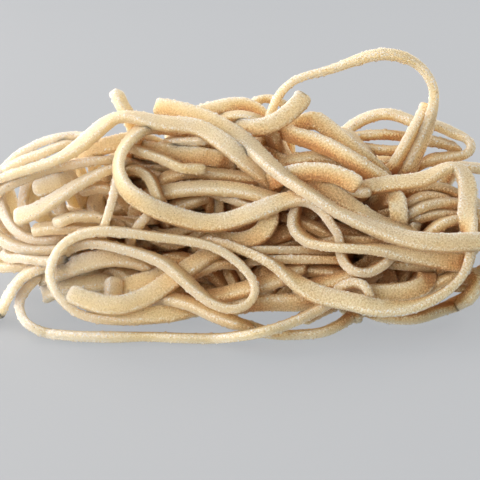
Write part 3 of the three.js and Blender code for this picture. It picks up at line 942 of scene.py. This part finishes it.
def pasta_material():
    """Rough dough with a pale dusting: cream where it lies open, tan to brown deep in the heap as painted
    shade, paler on the sides that face the lamps as painted light, and pale on its rims with dusting and
    painted highlight.
    """
    material, shader = new_material("fresh_pasta", {
        "Roughness": 0.6, "Specular IOR Level": 0.3, "Subsurface Weight": 0.9,
        "Subsurface Radius": (1.0, 0.96, 0.9), "Subsurface Scale": 0.0065})
    tree = material.node_tree
    space = tree.nodes.new("ShaderNodeTexCoord").outputs["Object"]
    # grains, closer along the strand than across it
    stretched = node(tree, "ShaderNodeMapping", attribute(tree, "spot", "Vector"), Scale=(2.6, 2.1, 1.0))
    noise = node(tree, "ShaderNodeTexNoise", stretched.outputs[0], Scale=1.0, Detail=2.0, Roughness=0.7)
    grain = noise.outputs["Fac"]
    colour = with_bran(tree, dough_colour(tree, grain, space), space)
    tree.links.new(colour, shader.inputs["Base Color"])
    bump = node(tree, "ShaderNodeBump", Strength=1.0, Distance=0.0006)
    tree.links.new(grain, bump.inputs["Height"])
    tree.links.new(bump.outputs["Normal"], shader.inputs["Normal"])
    return material


# ---- The core under the strands ----
CORE_RINGS = 14
CORE_SPOKES = 48
CORE_OUT = 0.62  # how far out it reaches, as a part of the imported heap
CORE_DEPTH = 0.8  # as a part of that, to the front and back
CORE_BACK = 6  # how far behind the heap's middle it stands
CORE_HIGH = 0.6  # its height, as a part of the heap's
CORE_PEAK = 0.62  # the same at its middle
CORE_FOOT = 1.2  # the height of its upright foot
CORE_CLEAR = 0.3  # between the foot and the table


def core_piece(material):
    """A small mound inside the heap, so that no light comes through from behind. It has no tone, so it takes
    the dough's darkest brown: painted shade for the heap's inside.
    """
    ring, spoke = np.divmod(np.arange(CORE_RINGS * CORE_SPOKES), CORE_SPOKES)
    part = (ring + 1) / CORE_RINGS
    angle = 2 * math.pi * spoke / CORE_SPOKES
    x = PACKED_X + PACKED_HALF * CORE_OUT * part * np.cos(angle)
    y = CORE_BACK + CORE_DEPTH * HALF_DEPTH * CORE_OUT * part * np.sin(angle)
    mound = np.column_stack([x, y, CORE_HIGH * heap_height(x, y) * (1 - part**3) + CORE_FOOT])
    top = PACKED_X, CORE_BACK, CORE_PEAK * heap_height(PACKED_X, CORE_BACK) + CORE_FOOT
    foot = mound[-CORE_SPOKES:] * (1, 1, 0) + (0, 0, CORE_CLEAR)
    a = np.arange(CORE_SPOKES)
    b = (a + 1) % CORE_SPOKES
    faces = np.stack([0 * a, 1 + a, 1 + b], axis=1).tolist()
    for first in range(1, len(mound) + 1, CORE_SPOKES):
        below = first + CORE_SPOKES
        faces += np.stack([first + a, below + a, below + b, first + b], axis=1).tolist()
    faces.append(below + a[::-1])
    mesh = bpy.data.meshes.new("core")
    mesh.from_pydata((np.vstack([top, mound, foot]) * MM).tolist(), [], faces)
    return new_piece("core", mesh, material)


# ---- Stage ----
def camera():
    data = bpy.data.cameras.new("camera")
    data.sensor_width = SENSOR
    data.lens = SENSOR * DISTANCE / PICTURE_WIDTH
    data.clip_start, data.clip_end = 0.02, 20
    made = add_object("camera", data)
    made.location = Vector(EYE) * MM
    made.rotation_euler = (math.pi / 2 - ELEVATION, 0, 0)
    bpy.context.scene.camera = made


def area_light(name, at, size, power):
    """A warm round light, turned to the heap."""
    data = bpy.data.lights.new(name, "AREA")
    data.shape = "DISK"
    data.size = size
    data.energy = power
    data.color = WARM
    made = add_object(name, data)
    made.location = at
    made.rotation_euler = (Vector((0, 0, 0.02)) - Vector(at)).to_track_quat("-Z", "Y").to_euler()


def floor_piece():
    """A pale floor that glows a little, so that the shadows on it stay weak."""
    mesh = bpy.data.meshes.new("floor")
    reach = 4.0
    corners = [(-reach, -reach, 0), (reach, -reach, 0), (reach, reach, 0), (-reach, reach, 0)]
    mesh.from_pydata(corners, [], [(0, 1, 2, 3)])
    material, _ = new_material("floor", {
        "Base Color": (0.09, 0.097, 0.108, 1), "Roughness": 0.7,
        "Emission Color": (0.915, 0.955, 1.0, 1), "Emission Strength": 0.43})
    mesh.materials.append(material)
    add_object("floor", mesh)


def world():
    made = bpy.data.worlds.new("world")
    made.use_nodes = True
    sky = made.node_tree.nodes["Background"].inputs
    sky["Color"].default_value = (0.95, 0.97, 1.0, 1)
    sky["Strength"].default_value = 0.2
    bpy.context.scene.world = made


WARM = (1.0, 0.89, 0.78)
camera()
world()
floor_piece()
area_light("left", (-0.9, -0.3, 0.25), 1.2, 12.0)
area_light("back left", (-0.5, 0.35, 0.3), 0.6, 5.8)
area_light("back right", (0.6, 0.6, 0.4), 0.5, 4.0)
area_light("front", (-0.5, -1.15, 0.5), 1.0, 11.5)
bpy.context.scene.view_settings.view_transform = "Standard"
bpy.context.scene.cycles.diffuse_bounces = 10  # light goes far between pale strands

pasta = pasta_material()
settled = settle(all_strands())
density = density_grid(settled)
shown = len(STRANDS)
parts = [0, 5, 24, 46, 66, shown]  # the first strand of each piece
for part, (first, last) in enumerate(zip(parts, parts[1:])):
    build(f"shown_strands_{part + 1}", settled[first:last], density, *SHOWN_STEPS, pasta)
third = (len(settled) - shown) // 3 + 1
for part in range(3):
    first = shown + part * third
    build(f"other_strands_{part + 1}", settled[first : first + third], density, *OTHER_STEPS, pasta)
core = core_piece(pasta)
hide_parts("pasta_heap")
